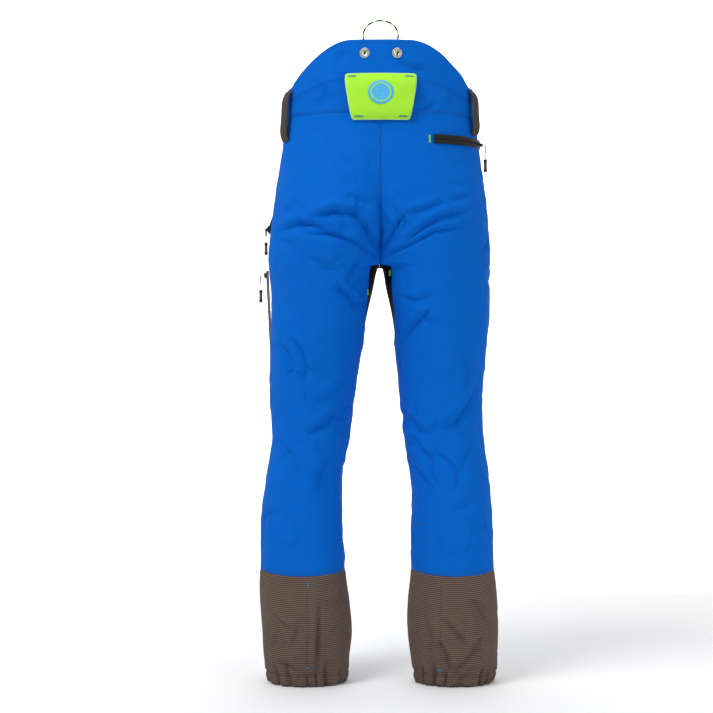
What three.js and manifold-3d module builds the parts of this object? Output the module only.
// Chainsaw protective trousers with a raised back, in millimetres.
// Heights are first measured up from the floor, and the whole group is then lowered so that the
// origin is the centre of the waist opening. +Z is up, +Y is the wearer's front and +X the wearer's right.

import * as THREE from 'three';
import { ParametricGeometry } from 'three/addons/geometries/ParametricGeometry.js';
import { mergeVertices } from 'three/addons/utils/BufferGeometryUtils.js';
import Module from 'manifold-3d';

const wasm = await Module();
wasm.setup();

// ---------------------------------------------------------------- driving dimensions

const WAIST = 1083; // waist seam
const BACK_TOP = 1219; // top edge of the raised back, at its middle
const FRONT_TOP = 1128; // top edge of the waistband at the front
const CROTCH = 801;
const KNEE_TOP = 552;
const KNEE_BOTTOM = 358;
const GAITER_TOP = 222;
const HEM = 12;

const SEAM_GAP = 0.3; // between two pieces that are sewn together
const CLOTH = 2;
const YOKE_CLOTH = 6;
const PAD = 5;
const PAD_DEPTH = 4.8; // from the outer face of the cloth to the saw protection
const BAG_CLOTH = 1.6;

const BLUE = { color: 0x0260c4, roughness: 0.78, metalness: 0 };
const BROWN = { color: 0x574a42, roughness: 0.9, metalness: 0 };
const BLACK_CLOTH = { color: 0x0a0a0c, roughness: 0.85, metalness: 0 };
const LIME = { color: 0xadea4b, roughness: 0.7, metalness: 0 };
const WEBBING = { color: 0x4a423d, roughness: 0.85, metalness: 0 };
const PADDING = { color: 0xd9c46a, roughness: 0.95, metalness: 0 };
const LINING = { color: 0x2b2d31, roughness: 0.9, metalness: 0 };
const ZIP = { color: 0x121214, roughness: 0.35, metalness: 0 };
const SLIDER = { color: 0x1b1c1f, roughness: 0.4, metalness: 0.6 };
const GRIP = { color: 0x5a524c, roughness: 0.6, metalness: 0 };
const BRASS = { color: 0xb9b4a6, roughness: 0.3, metalness: 1 };
const CORD = { color: 0x15170f, roughness: 0.8, metalness: 0 };
const ELASTIC = { color: 0x3f3833, roughness: 0.9, metalness: 0 };

// One leg and its half of the trunk, as ellipses up the leg. Each row is a height, the distance of the
// ellipse's centre from the middle plane, and its half width.
const PROFILE = {
  left: [
    [0, 139, 69], [25, 139, 74], [56, 141, 81.5], [102, 140, 87], [163, 144, 85], [222, 148, 81],
    [300, 150, 77], [394, 146, 73], [470, 133, 74], [547, 130, 81.5], [624, 124, 86], [701, 116, 93],
    [760, 110, 100], [801, 107, 106.8], [841, 97, 116], [912, 70, 134], [1000, 33, 158], [1083, 0, 180],
    [1140, 0, 179], [1230, 0, 174],
  ],
  right: [
    [0, 140, 69], [25, 142, 75], [56, 142, 82], [102, 140, 84.5], [163, 139, 82], [222, 139, 79.5],
    [300, 138, 78], [394, 135, 76], [470, 122, 77], [547, 118, 79], [624, 117, 86], [701, 116, 95],
    [760, 109, 101], [801, 106, 105.8], [841, 96, 114], [912, 70, 135], [1000, 33, 160], [1083, 0, 180],
    [1140, 0, 179], [1230, 0, 174],
  ],
};
// Each row is a height, the half depth, and how far the ellipse's centre stands forward.
const DEPTHS = [
  [0, 61, 0], [25, 67, 0], [56, 76, 0], [102, 81, 0], [163, 81, 0], [222, 77, 0], [300, 75, 2],
  [394, 76, 7], [470, 79, 10], [547, 85, 8], [624, 92, 4], [701, 101, 0], [801, 115, -3],
  [841, 120, -5], [912, 124, -6], [1000, 117, -3], [1083, 108, 0], [1140, 107, 0], [1230, 103, 0],
];

// ---------------------------------------------------------------- curves and surfaces

// The columns of a table at one height, on a smooth curve through its rows.
function at(table, z) {
  const last = table.length - 2;
  let i = 0;
  while (i < last && z > table[i + 1][0]) i += 1;
  const [from, to] = [table[i], table[i + 1]];
  const below = table[Math.max(i - 1, 0)];
  const above = table[Math.min(i + 2, table.length - 1)];
  const span = to[0] - from[0];
  const t = THREE.MathUtils.clamp((z - from[0]) / span, 0, 1);
  return from.slice(1).map((value, k) => {
    const col = k + 1;
    const startSlope = ((to[col] - below[col]) / (to[0] - below[0])) * span;
    const endSlope = ((above[col] - from[col]) / (above[0] - from[0])) * span;
    const h = t * t * (3 - 2 * t);
    const bend = (t ** 3 - 2 * t * t + t) * startSlope + (t ** 3 - t * t) * endSlope;
    return value * (1 - h) + to[col] * h + bend;
  });
}

const SIGN = { left: -1, right: 1 };
const UP = new THREE.Vector3(0, 0, 1);

// A point on a leg. angle is 0 at the outer side, 90 degrees at the front and -90 at the back, and
// inset is how far the point lies inside the outer face of the cloth.
function onLeg(side, angle, z, inset, target) {
  const [centre, halfWidth] = at(PROFILE[side], z);
  const [halfDepth, forward] = at(DEPTHS, z);
  return target.set(
    SIGN[side] * (centre + (halfWidth - inset) * Math.cos(angle)),
    forward + (halfDepth - inset) * Math.sin(angle),
    z,
  );
}

const MIDDLE_GAP = SEAM_GAP / 2;

// The angle at which a leg's ellipse meets the middle plane, or its own inseam below the crotch.
function innerAngle(side, z, inset) {
  const [centre, halfWidth] = at(PROFILE[side], z);
  const reach = (MIDDLE_GAP - centre) / (halfWidth - inset);
  const inseam = Math.PI - MIDDLE_GAP / halfWidth;
  return reach <= -1 ? inseam : Math.min(Math.acos(reach), inseam);
}

const GUSSET_BOTTOM = 655;
const GUSSET_TOP = 852;
const GUSSET_HALF_ANGLE = 0.6;

// How far the gusset reaches round a leg from the inseam, in radians.
function gussetReach(z) {
  const t = (z - GUSSET_BOTTOM) / (CROTCH - GUSSET_BOTTOM);
  return t <= 0 ? 0 : GUSSET_HALF_ANGLE * Math.min(Math.sqrt(t), 1);
}

function panelInnerAngle(side, z, inset) {
  const [, halfWidth] = at(PROFILE[side], z);
  const reach = gussetReach(z);
  const open = innerAngle(side, z, inset);
  return reach === 0 ? open : Math.min(open, Math.PI - reach - SEAM_GAP / halfWidth);
}

// ---------------------------------------------------------------- closed solids

function signedVolume(geometry) {
  const p = geometry.attributes.position;
  const index = geometry.index;
  const [a, b, c] = [new THREE.Vector3(), new THREE.Vector3(), new THREE.Vector3()];
  let sum = 0;
  for (let i = 0; i < index.count; i += 3) {
    a.fromBufferAttribute(p, index.getX(i));
    b.fromBufferAttribute(p, index.getX(i + 1));
    c.fromBufferAttribute(p, index.getX(i + 2));
    sum += a.dot(b.cross(c));
  }
  return sum / 6;
}

// Merges shared vertices, drops the triangles that vanish with them, and turns the faces outward.
function closed(geometry) {
  geometry.deleteAttribute('normal');
  geometry.deleteAttribute('uv');
  const merged = mergeVertices(geometry, 1e-3);
  const kept = [];
  const v = merged.index.array;
  for (let i = 0; i < v.length; i += 3) {
    const [a, b, c] = [v[i], v[i + 1], v[i + 2]];
    if (a !== b && b !== c && a !== c) kept.push(a, b, c);
  }
  merged.setIndex(kept);
  if (signedVolume(merged) < 0) merged.setIndex(kept.reverse());
  return merged;
}

// A curved sheet with its edges closed. surface(u, v, depth, target) gives its points, with u across
// and v up the sheet from 0 to 1, and depth 0 on the outer face and 1 on the inner one.
function sheet(surface, across, up) {
  const loop = 2 * (across + 1);
  const rows = up + 2;
  return closed(new ParametricGeometry((s, t, target) => {
    const k = Math.round(s * loop) % loop;
    const row = Math.round(t * rows);
    const u = k <= across ? k / across : (loop - 1 - k) / across;
    const v = THREE.MathUtils.clamp((row - 1) / up, 0, 1);
    const edge = row === 0 || row === rows;
    surface(u, v, edge ? 0.5 : Number(k > across), target);
  }, loop, rows));
}

// A ring of cloth. surface(u, v, depth, target) goes once round as u goes from 0 to 1.
function ring(surface, around, up) {
  const loop = 2 * (up + 1);
  return closed(new ParametricGeometry((s, t, target) => {
    const k = Math.round(t * loop) % loop;
    const v = k <= up ? k / up : (loop - 1 - k) / up;
    surface(Math.round(s * around) % around / around, v, Number(k > up), target);
  }, around, loop));
}

function toManifold(geometry) {
  const merged = closed(geometry);
  return new wasm.Manifold(new wasm.Mesh({
    numProp: 3,
    vertProperties: merged.attributes.position.array,
    triVerts: new Uint32Array(merged.index.array),
  }));
}

function fromManifold(solid) {
  const { vertProperties, triVerts } = solid.getMesh();
  const geometry = new THREE.BufferGeometry();
  geometry.setAttribute('position', new THREE.BufferAttribute(vertProperties, 3));
  geometry.setIndex(new THREE.BufferAttribute(triVerts, 1));
  return geometry;
}

function box(low, high) {
  const size = high.map((value, k) => value - low[k]);
  return new THREE.BoxGeometry(...size).translate(...high.map((value, k) => (value + low[k]) / 2));
}

// ---------------------------------------------------------------- the object

const trousers = new THREE.Group();
trousers.position.z = -WAIST;

function add(name, geometry, look, parent = trousers) {
  const mesh = new THREE.Mesh(geometry, new THREE.MeshStandardMaterial(look));
  mesh.name = name;
  parent.add(mesh);
  return mesh;
}

const { lerp } = THREE.MathUtils;

// ---------------------------------------------------------------- leg panels

const PANEL_ACROSS = 9;
const SIDE_SEAM = MIDDLE_GAP / 80; // half the gap between front and back at the side, in radians

// A panel of one leg's front (facing 1) or back (facing -1), from its side seam to its inner edge.
function legPanel(side, facing, bottom, top, rows) {
  return sheet((u, v, depth, target) => {
    const z = lerp(bottom, top, v);
    const inset = depth * CLOTH;
    onLeg(side, facing * lerp(SIDE_SEAM, panelInnerAngle(side, z, inset), u), z, inset, target);
  }, PANEL_ACROSS, rows);
}

const PAD_SIDE = 0.12;
const PAD_INNER = 2.45;
const PAD_MIDDLE = 8; // from the middle plane to the pad

// Saw protection behind the front of one leg: many loose layers of long fibres, held as one pad.
function sawPad(side, bottom, top, rows) {
  return sheet((u, v, depth, target) => {
    const z = lerp(bottom, top, v);
    const inset = PAD_DEPTH + depth * PAD;
    const [centre, halfWidth] = at(PROFILE[side], z);
    const middle = Math.acos(THREE.MathUtils.clamp((PAD_MIDDLE - centre) / (halfWidth - inset), -1, 1));
    onLeg(side, lerp(PAD_SIDE, Math.min(PAD_INNER, middle), u), z, inset, target);
  }, 7, rows);
}

const GAITER_CLOTH = 2.4;
const CUFF_TOP = HEM + 14;

function gaiter(side) {
  return ring((u, v, depth, target) => {
    onLeg(side, 2 * Math.PI * u, lerp(HEM, GAITER_TOP - SEAM_GAP, v), depth * GAITER_CLOTH, target);
  }, 20, 6);
}

function cuffElastic(side) {
  return ring((u, v, depth, target) => {
    onLeg(side, 2 * Math.PI * u, lerp(HEM + 2, CUFF_TOP, v), GAITER_CLOTH + 0.6 + 1.6 * depth, target);
  }, 20, 1);
}

const THIGH_ROWS = 12;
const KNEE_ROWS = 4;
const SHIN_ROWS = 3;
const PAD_TOP = 985;
const PAD_HEM = 62;

for (const side of ['left', 'right']) {
  const above = KNEE_TOP + SEAM_GAP;
  const waist = WAIST - SEAM_GAP;
  const kneeBottom = KNEE_BOTTOM + SEAM_GAP;
  add(`${side}_back_thigh_panel`, legPanel(side, -1, above, waist, THIGH_ROWS), BLUE);
  add(`${side}_front_thigh_panel`, legPanel(side, 1, above, waist, THIGH_ROWS), BLUE);
  add(`${side}_back_knee_panel`, legPanel(side, -1, kneeBottom, KNEE_TOP, KNEE_ROWS), BLUE);
  add(`${side}_front_knee_panel`, legPanel(side, 1, kneeBottom, KNEE_TOP, KNEE_ROWS), BLUE);
  add(`${side}_calf_panel`, legPanel(side, -1, GAITER_TOP, KNEE_BOTTOM, SHIN_ROWS), BLUE);
  add(`${side}_shin_panel`, legPanel(side, 1, GAITER_TOP, KNEE_BOTTOM, SHIN_ROWS), BLUE);
  add(`${side}_thigh_saw_pad`, sawPad(side, above, PAD_TOP, 8), PADDING);
  add(`${side}_knee_saw_pad`, sawPad(side, kneeBottom, KNEE_TOP, KNEE_ROWS), PADDING);
  add(`${side}_shin_saw_pad`, sawPad(side, PAD_HEM, KNEE_BOTTOM, 5), PADDING);
  add(`${side}_gaiter`, gaiter(side), BROWN);
  add(`${side}_cuff_elastic`, cuffElastic(side), ELASTIC);
}

// ---------------------------------------------------------------- trunk

const YOKE_ANGLE = THREE.MathUtils.degToRad(72); // from the middle of the back to the side seam of the yoke
const YOKE_PROUD = 1;
const YOKE_FLAT = 58; // half width of the level part of its top edge
const YOKE_FALL = 81; // how far the top edge falls by YOKE_FALL_AT
const YOKE_FALL_AT = 173;
const YOKE_ROUNDING = 1.87;

// A point on the trunk. angle is 0 at the middle of the back and 180 degrees at the middle of the front.
function onTrunk(angle, z, inset, target) {
  const side = angle < 0 ? 'left' : 'right';
  const [centre, halfWidth] = at(PROFILE[side], z);
  const out = (centre + halfWidth) * Math.sin(Math.abs(angle));
  const legAngle = Math.acos(THREE.MathUtils.clamp((out - centre) / halfWidth, -1, 1));
  return onLeg(side, Math.abs(angle) < Math.PI / 2 ? -legAngle : legAngle, z, inset, target);
}

function yokeTop(x) {
  const past = Math.max(Math.abs(x) - YOKE_FLAT, 0) / (YOKE_FALL_AT - YOKE_FLAT);
  return BACK_TOP - YOKE_FALL * past ** YOKE_ROUNDING;
}

const WAIST_HALF_WIDTH = 180;
const EYELET_X = 30;
const EYELET_Z = 1193;
const EYELET_HOLE = 4.5;
const BARREL = 5.6;
const YOKE_HOLE = 6;
const DRILL_LENGTH = 40;

function yokeSpot(x, z) {
  return onTrunk(Math.asin(x / at(PROFILE.right, z)[1]), z, -YOKE_PROUD, new THREE.Vector3());
}

// Turns a piece made along +Y so that it faces squarely into the back at x.
function facing(x) {
  const slope = yokeSpot(x + 1, EYELET_Z).sub(yokeSpot(x - 1, EYELET_Z));
  return Math.atan2(slope.y, slope.x);
}

function yoke() {
  const cloth = sheet((u, v, depth, target) => {
    const angle = lerp(-YOKE_ANGLE, YOKE_ANGLE, u);
    const z = lerp(WAIST, yokeTop(WAIST_HALF_WIDTH * Math.sin(angle)), v);
    onTrunk(angle, z, depth * YOKE_CLOTH - YOKE_PROUD, target);
  }, 22, 4);
  let solid = toManifold(cloth);
  for (const x of [-EYELET_X, EYELET_X]) {
    const spot = yokeSpot(x, EYELET_Z);
    const drill = new THREE.CylinderGeometry(YOKE_HOLE, YOKE_HOLE, DRILL_LENGTH, 16);
    drill.rotateZ(facing(x)).translate(spot.x, spot.y, spot.z);
    solid = solid.subtract(toManifold(drill));
  }
  return fromManifold(solid);
}

add('back_yoke', yoke(), BLUE);

const WAISTBAND_CLOTH = 4;
const FRONT_LIMIT = Math.PI - MIDDLE_GAP / WAIST_HALF_WIDTH;

for (const side of ['left', 'right']) {
  const sideTop = yokeTop(WAIST_HALF_WIDTH * Math.sin(YOKE_ANGLE));
  const start = YOKE_ANGLE + SEAM_GAP / 100;
  add(`${side}_waistband`, sheet((u, v, depth, target) => {
    const angle = SIGN[side] * lerp(start, FRONT_LIMIT, u);
    onTrunk(angle, lerp(WAIST, lerp(sideTop, FRONT_TOP, u), v), depth * WAISTBAND_CLOTH, target);
  }, 13, 1), BLUE);
}

// The gusset is one saddle-shaped piece: a strip up the inside of each leg, joined across the crotch.
const GUSSET_CLOTH = 1.4;
const GUSSET_DEPTH = 3.6; // it is sewn behind the panels' inner edges
const GUSSET_JOIN = 0.2; // how far each half reaches past the middle plane before they are joined
const GUSSET_POINT = 3; // its lower points are cut off this far up
const FAR_SIDE = 400; // beyond the trousers on every side

function gussetHalf(side) {
  const strip = sheet((u, v, depth, target) => {
    const z = lerp(GUSSET_BOTTOM + GUSSET_POINT, GUSSET_TOP, v);
    const reach = gussetReach(z);
    onLeg(side, lerp(Math.PI - reach, Math.PI + reach, u), z, GUSSET_DEPTH + depth * GUSSET_CLOTH, target);
  }, 6, 8);
  const far = SIGN[side] * FAR_SIDE;
  const near = -SIGN[side] * GUSSET_JOIN;
  const half = box([Math.min(far, near), -FAR_SIDE, 0], [Math.max(far, near), FAR_SIDE, BACK_TOP]);
  return toManifold(strip).intersect(toManifold(half));
}

add('crotch_gusset', fromManifold(gussetHalf('left').add(gussetHalf('right'))), BLACK_CLOTH);

const TUNNEL = 9.5; // room for the belt behind a loop
const LOOP_LIFT = 2.4; // from the trunk's surface to a loop's sewn ends
const LOOP_CLOTH = 1.8;

// How far a belt loop stands off the trunk, from its lower end at 0 to its upper end at 1.
const loopLift = (v) => LOOP_LIFT + TUNNEL * (1 - (2 * v - 1) ** 4);

const PATCH_TOP = 1154;
const PATCH_BOTTOM = 1069;
const PATCH_TOP_HALF = 64;
const PATCH_BOTTOM_HALF = 51;

add('back_belt_patch', sheet((u, v, depth, target) => {
  const x = lerp(-1, 1, u) * lerp(PATCH_BOTTOM_HALF, PATCH_TOP_HALF, v);
  const inset = depth * LOOP_CLOTH - LOOP_CLOTH - loopLift(v);
  onTrunk(Math.asin(x / WAIST_HALF_WIDTH), lerp(PATCH_BOTTOM, PATCH_TOP, v), inset, target);
}, 6, 6), LIME);

const SIDE_LOOP_FROM = THREE.MathUtils.degToRad(66);
const SIDE_LOOP_TO = THREE.MathUtils.degToRad(78);
const SIDE_LOOP_TOP = 1134;
const SIDE_LOOP_BOTTOM = { left: 1038, right: 1050 };

for (const side of ['left', 'right']) {
  add(`${side}_belt_loop`, sheet((u, v, depth, target) => {
    const inset = depth * LOOP_CLOTH - LOOP_CLOTH - loopLift(v);
    const angle = SIGN[side] * lerp(SIDE_LOOP_FROM, SIDE_LOOP_TO, u);
    onTrunk(angle, lerp(SIDE_LOOP_BOTTOM[side], SIDE_LOOP_TOP, v), inset, target);
  }, 2, 8), WEBBING);
}

// ---------------------------------------------------------------- eyelets and hanging cord

// Radius and distance in from the yoke's outer face, once round the section of a clinched eyelet.
const EYELET_SECTION = [
  [EYELET_HOLE, -1.5], [6.4, -2.1], [8.6, -1.7], [9.5, -0.9], [9.5, -0.5], [BARREL, -0.5],
  [BARREL, 6.7], [9, 6.7], [9, 7.9], [EYELET_HOLE, 7.9], [EYELET_HOLE, -1.5],
];
const KNOT = 3.9;
const KNOT_OUT = 0.8;

for (const side of ['left', 'right']) {
  const x = SIGN[side] * EYELET_X;
  const section = EYELET_SECTION.map(([r, along]) => new THREE.Vector2(r, along));
  const eyelet = add(`${side}_eyelet`, closed(new THREE.LatheGeometry(section, 14)), BRASS);
  eyelet.position.copy(yokeSpot(x, EYELET_Z));
  eyelet.rotation.z = facing(x);
  const knot = add(`${side}_cord_knot`, closed(new THREE.SphereGeometry(KNOT, 10, 6)), CORD);
  knot.position.set(0, -KNOT_OUT, 0).applyAxisAngle(UP, facing(x));
  knot.position.add(yokeSpot(x, EYELET_Z));
}

const CORD_RADIUS = 1.7;
// Right half of the cord, from its knot to the top of its arch: distance from the middle, how far in
// from the yoke's outer face, and height.
const CORD_ROUTE = [
  [30, 3.6, 1193], [29.6, 8.5, 1193.2], [29.3, 12.8, 1195.4], [29.2, 15.2, 1200], [29.5, 15.6, 1206],
  [30.5, 14.4, 1214], [31.8, 12.8, 1222], [32, 11.8, 1231], [28.5, 11.2, 1240.5], [20.5, 10.8, 1248.5],
  [10.5, 10.6, 1253], [0, 10.5, 1254.5],
];

function cordPoint([x, inward, z], sign) {
  return yokeSpot(sign * x, EYELET_Z).setZ(z).add(new THREE.Vector3(0, inward, 0));
}

const cordPoints = [
  ...CORD_ROUTE.map((row) => cordPoint(row, -1)),
  ...CORD_ROUTE.slice(0, -1).reverse().map((row) => cordPoint(row, 1)),
];
const cordSection = new THREE.Shape();
cordSection.absarc(0, 0, CORD_RADIUS, 0, 2 * Math.PI);
add('hang_cord', closed(new THREE.ExtrudeGeometry(cordSection, {
  extrudePath: new THREE.CatmullRomCurve3(cordPoints),
  steps: 32,
  curveSegments: 4,
})), CORD);

// ---------------------------------------------------------------- zips

const TAPE = 1.2;
const COIL = 1.6; // height of the coil above the tape
const COIL_HALF = 2.6;
const SLIDER_LENGTH = 10;
const SLIDER_HALF = 4;
const SLIDER_TAIL = 2.4; // half widths at its tail, middle and nose
const SLIDER_WAIST = 3;
const SLIDER_NOSE = 1.8;
const SLIDER_HEIGHT = 3.6;
const RUNNING_GAP = 0.4;
const SLIDER_BASE = TAPE + COIL + RUNNING_GAP;
const PULLER_GAP = 1.4;
const PULLER_LIFT = SLIDER_BASE + SLIDER_HEIGHT + PULLER_GAP;
const PULLER_THICK = 1.4;
const GRIP_GAP = 0.8; // between a puller's end and its grip's cord
const PULLER_LENGTH = 17;
const PULLER_HALF = 3;
const PULLER_HEAD = 0.6; // above its pin, so that it can swing clear of the slider
const EYE_IN = 3; // from the puller's free end to the middle of its eye
const EYE_HOLE = 1.3;
const PULLER_TAPER = 0.8;
const CORD_EYE = 10;
const GRIP_LENGTH = 24;
const GRIP_RADIUS = 3.5;

// A path runs from 0 to 1 along a zip, and gives its point, direction and outward normal there.
function straightPath(from, to, outward, lift) {
  const along = to.clone().sub(from).normalize();
  const normal = outward.clone().addScaledVector(along, -outward.dot(along)).normalize();
  return (t) => ({ point: from.clone().lerp(to, t).addScaledVector(normal, lift), along, normal });
}

// The same round an arc of a circle through three points.
function arcPath(from, middle, to, lift) {
  const triangle = new THREE.Triangle(from, middle, to);
  const axis = triangle.getNormal(new THREE.Vector3());
  const [a, b] = [from.clone().sub(to), middle.clone().sub(to)];
  const cross = a.clone().cross(b);
  const centre = b.clone().multiplyScalar(a.lengthSq()).sub(a.clone().multiplyScalar(b.lengthSq()))
    .cross(cross).divideScalar(2 * cross.lengthSq()).add(to);
  const first = from.clone().sub(centre);
  const sweep = first.angleTo(to.clone().sub(centre));
  return (t) => {
    const normal = first.clone().applyAxisAngle(axis, sweep * t).normalize();
    const point = centre.clone().addScaledVector(normal, first.length() + lift);
    return { point, normal, along: axis.clone().cross(normal), centre, axis, sweep };
  };
}

// Distance across the tape from its middle, and height of its outer face, from one edge to the other.
function tapeSection(halfWidth) {
  const slope = 0.6;
  return [
    [-halfWidth, TAPE], [-COIL_HALF - slope, TAPE], [-COIL_HALF, TAPE + COIL],
    [COIL_HALF, TAPE + COIL], [COIL_HALF + slope, TAPE], [halfWidth, TAPE],
  ];
}

function zipTape(path, halfWidth, steps) {
  const section = tapeSection(halfWidth);
  return sheet((u, v, depth, target) => {
    const { point, along, normal } = path(u);
    const [across, height] = section[Math.round(v * (section.length - 1))];
    const up = normal.clone().cross(along);
    target.copy(point).addScaledVector(up, across).addScaledVector(normal, height * (1 - depth));
  }, steps, section.length - 1);
}

function sliderBody() {
  const end = SLIDER_LENGTH / 2;
  const outline = new THREE.Shape();
  outline.moveTo(-end, -SLIDER_TAIL);
  outline.lineTo(0, -SLIDER_WAIST);
  outline.quadraticCurveTo(end, -SLIDER_HALF, end, -SLIDER_NOSE);
  outline.lineTo(end, SLIDER_NOSE);
  outline.quadraticCurveTo(end, SLIDER_HALF, 0, SLIDER_WAIST);
  outline.lineTo(-end, SLIDER_TAIL);
  return closed(new THREE.ExtrudeGeometry(outline, {
    depth: SLIDER_HEIGHT, bevelEnabled: false, curveSegments: 4,
  }));
}

// The puller hangs along -Y from its pin at the origin, flat against Z = 0.
function pullerBody() {
  const outline = new THREE.Shape();
  const eyeY = EYE_IN - PULLER_LENGTH;
  const endHalf = PULLER_HALF * PULLER_TAPER;
  outline.moveTo(-PULLER_HALF, PULLER_HEAD);
  outline.lineTo(PULLER_HALF, PULLER_HEAD);
  outline.lineTo(endHalf, eyeY + 1);
  outline.absarc(0, eyeY, endHalf, 0, -Math.PI, true);
  const eye = new THREE.Path();
  eye.absarc(0, eyeY, EYE_HOLE, 0, 2 * Math.PI);
  outline.holes.push(eye);
  return closed(new THREE.ExtrudeGeometry(outline, {
    depth: PULLER_THICK, bevelEnabled: false, curveSegments: 4,
  }));
}

// A moulded grip on a short loop of cord, hanging along -Y from the puller's eye.
function gripBody() {
  const section = [
    [0, 0], [1.2, 0], [1.2, -CORD_EYE + 1], [GRIP_RADIUS * 0.8, -CORD_EYE], [GRIP_RADIUS, -CORD_EYE - 2],
    [GRIP_RADIUS * 0.9, -CORD_EYE - GRIP_LENGTH + 3], [GRIP_RADIUS * 0.7, -CORD_EYE - GRIP_LENGTH],
    [0, -CORD_EYE - GRIP_LENGTH],
  ];
  return closed(new THREE.LatheGeometry(section.map(([r, y]) => new THREE.Vector2(r, y)), 8));
}

// A whole zip: its tape, and the slider with its puller and grip hanging at one place on the path.
function addZip(name, path, { halfWidth, steps, sliderAt, hangOut = 0, grip = true }) {
  add(`${name}_zip_tape`, zipTape(path, halfWidth, steps), ZIP);
  const { point, along, normal } = path(sliderAt);
  const slider = add(`${name}_zip_slider`, sliderBody(), SLIDER);
  slider.position.copy(point).addScaledVector(normal, SLIDER_BASE);
  slider.setRotationFromMatrix(new THREE.Matrix4().makeBasis(along, normal.clone().cross(along), normal));

  const level = normal.clone().setZ(0).normalize();
  const hanging = new THREE.Group();
  hanging.position.copy(point).addScaledVector(normal, PULLER_LIFT + hangOut);
  hanging.setRotationFromMatrix(new THREE.Matrix4().makeBasis(UP.clone().cross(level), UP, level));
  trousers.add(hanging);
  add(`${name}_zip_puller`, pullerBody(), SLIDER, hanging);
  if (grip) {
    const held = add(`${name}_zip_grip`, gripBody(), GRIP, hanging);
    held.position.set(0, -PULLER_LENGTH - GRIP_GAP, PULLER_THICK / 2);
  }
}

const spot = (side, angle, z) => onLeg(side, angle, z, 0, new THREE.Vector3());
const sideways = (side, angle) => new THREE.Vector3(SIGN[side] * Math.cos(angle), Math.sin(angle), 0);

// Angle on a leg of a point of the back at distance x from the middle plane.
function backAngle(side, x, z) {
  const [centre, halfWidth] = at(PROFILE[side], z);
  return -Math.acos((x - centre) / halfWidth);
}

const HIP_ZIP_Z = 1034;
const hipSpot = (x) => spot('right', backAngle('right', x, HIP_ZIP_Z), HIP_ZIP_Z);
const HIP_ZIP_LIFT = 3.8;
const hipPath = arcPath(hipSpot(97), hipSpot(152), hipSpot(187), HIP_ZIP_LIFT);
addZip('hip', hipPath, { halfWidth: 8.5, steps: 8, sliderAt: 0.95, hangOut: 3 });

const HAND_ZIP_TOP = 1040;
const HAND_ZIP_BOTTOM = 868;
const LEFT_HAND_ANGLES = [0.62, 0.24];
const RIGHT_HAND_ANGLES = [0.74, 0.47];
const HAND_ZIP_LIFT = 8;
for (const [side, [top, bottom]] of [['left', LEFT_HAND_ANGLES], ['right', RIGHT_HAND_ANGLES]]) {
  const low = spot(side, bottom, HAND_ZIP_BOTTOM);
  const high = spot(side, top, HAND_ZIP_TOP);
  const path = straightPath(low, high, sideways(side, (top + bottom) / 2), HAND_ZIP_LIFT);
  addZip(`${side}_hand`, path, { halfWidth: 8, steps: 2, sliderAt: 0.05, hangOut: 2 });
}

const THIGH_ZIP_LIFT = 4;
const thighLow = spot('left', 0.34, 622);
const thighHigh = spot('left', 0.14, 796);
const thighPath = straightPath(thighLow, thighHigh, sideways('left', 0.24), THIGH_ZIP_LIFT);
addZip('thigh', thighPath, { halfWidth: 8, steps: 2, sliderAt: 0.95, hangOut: 5 });

const flySpot = (z) => spot('left', innerAngle('left', z, 0), z).setX(0);
const FLY_ZIP_LIFT = 6.2;
const flyPath = arcPath(flySpot(925), flySpot(1000), flySpot(1076), FLY_ZIP_LIFT);
addZip('fly', flyPath, { halfWidth: 10, steps: 7, sliderAt: 0.94, grip: false });

// ---------------------------------------------------------------- pocket bags

const BACK_BAG_DEPTH = 3.6;
const FRONT_BAG_DEPTH = PAD_DEPTH + PAD + 3;

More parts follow.
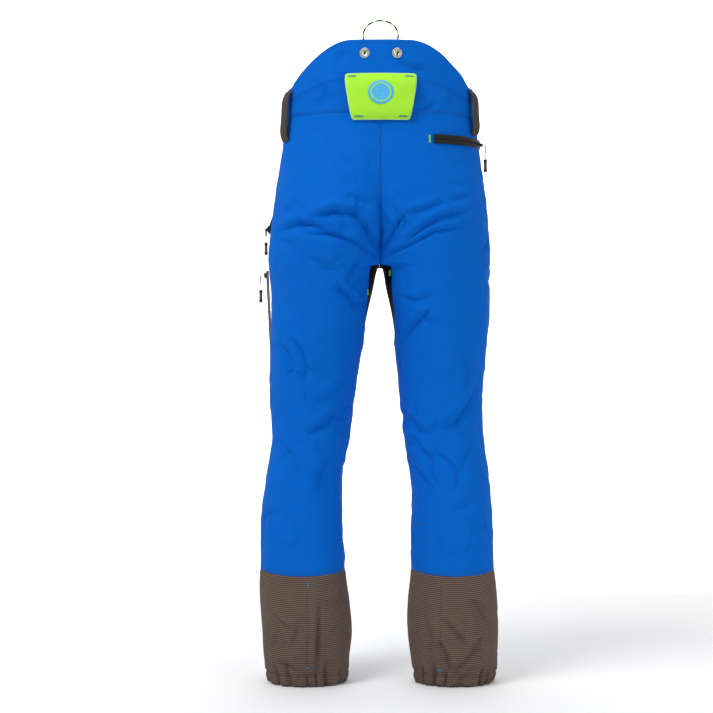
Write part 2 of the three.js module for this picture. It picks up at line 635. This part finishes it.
function pocketBag(side, [from, to], bottom, top, inset) {
  return sheet((u, v, depth, target) => (
    onLeg(side, lerp(from, to, u), lerp(bottom, top, v), inset + depth * BAG_CLOTH, target)
  ), 5, 4);
}

const hipBagAngles = [100, 182].map((x) => backAngle('right', x, HIP_ZIP_Z));
add('hip_pocket_bag', pocketBag('right', hipBagAngles, 905, 1028, BACK_BAG_DEPTH), LINING);
add('left_hand_pocket_bag', pocketBag('left', [0.25, 1.2], 835, 1040, FRONT_BAG_DEPTH), LINING);
add('right_hand_pocket_bag', pocketBag('right', [0.25, 1.2], 835, 1040, FRONT_BAG_DEPTH), LINING);
add('thigh_pocket_bag', pocketBag('left', [0.2, 1.1], 612, 792, FRONT_BAG_DEPTH), LINING);

// ---------------------------------------------------------------- waist fastening

const TAB_FROM = -24;
const TAB_TO = 34;
const TAB_BOTTOM = 1093;
const TAB_TOP = 1122;
const TAB_LIFT = 4.4;
const TAB_CLOTH = 2.4;
const STUD_X = 20;
const STUD_Z = 1107;
const STUD_TURN = -0.067; // faces it squarely out from the waistband, in radians
const STUD_TAPER = 0.85;

const frontAngle = (x) => Math.sign(x || 1) * (Math.PI - Math.asin(Math.abs(x) / WAIST_HALF_WIDTH));

add('waist_tab', sheet((u, v, depth, target) => {
  const inset = depth * TAB_CLOTH - TAB_CLOTH - TAB_LIFT;
  onTrunk(frontAngle(lerp(TAB_FROM, TAB_TO, u)), lerp(TAB_BOTTOM, TAB_TOP, v), inset, target);
}, 6, 2), BLUE);

// A round stud on the waistband, under or on the tab, with its flat faces across +Y.
function stud(radius, height, lift) {
  const spotOnBand = onTrunk(frontAngle(STUD_X), STUD_Z, -lift - height / 2, new THREE.Vector3());
  const disc = closed(new THREE.CylinderGeometry(radius * STUD_TAPER, radius, height, 12));
  return { disc, spotOnBand };
}

for (const [name, radius, height, lift] of [
  ['stud_socket', 6, 2.4, 0.8], ['stud_cap', 8, 2, TAB_LIFT + TAB_CLOTH + 0.6],
]) {
  const { disc, spotOnBand } = stud(radius, height, lift);
  const piece = add(name, disc, BRASS);
  piece.position.copy(spotOnBand);
  piece.rotation.z = STUD_TURN;
}

export default trousers;
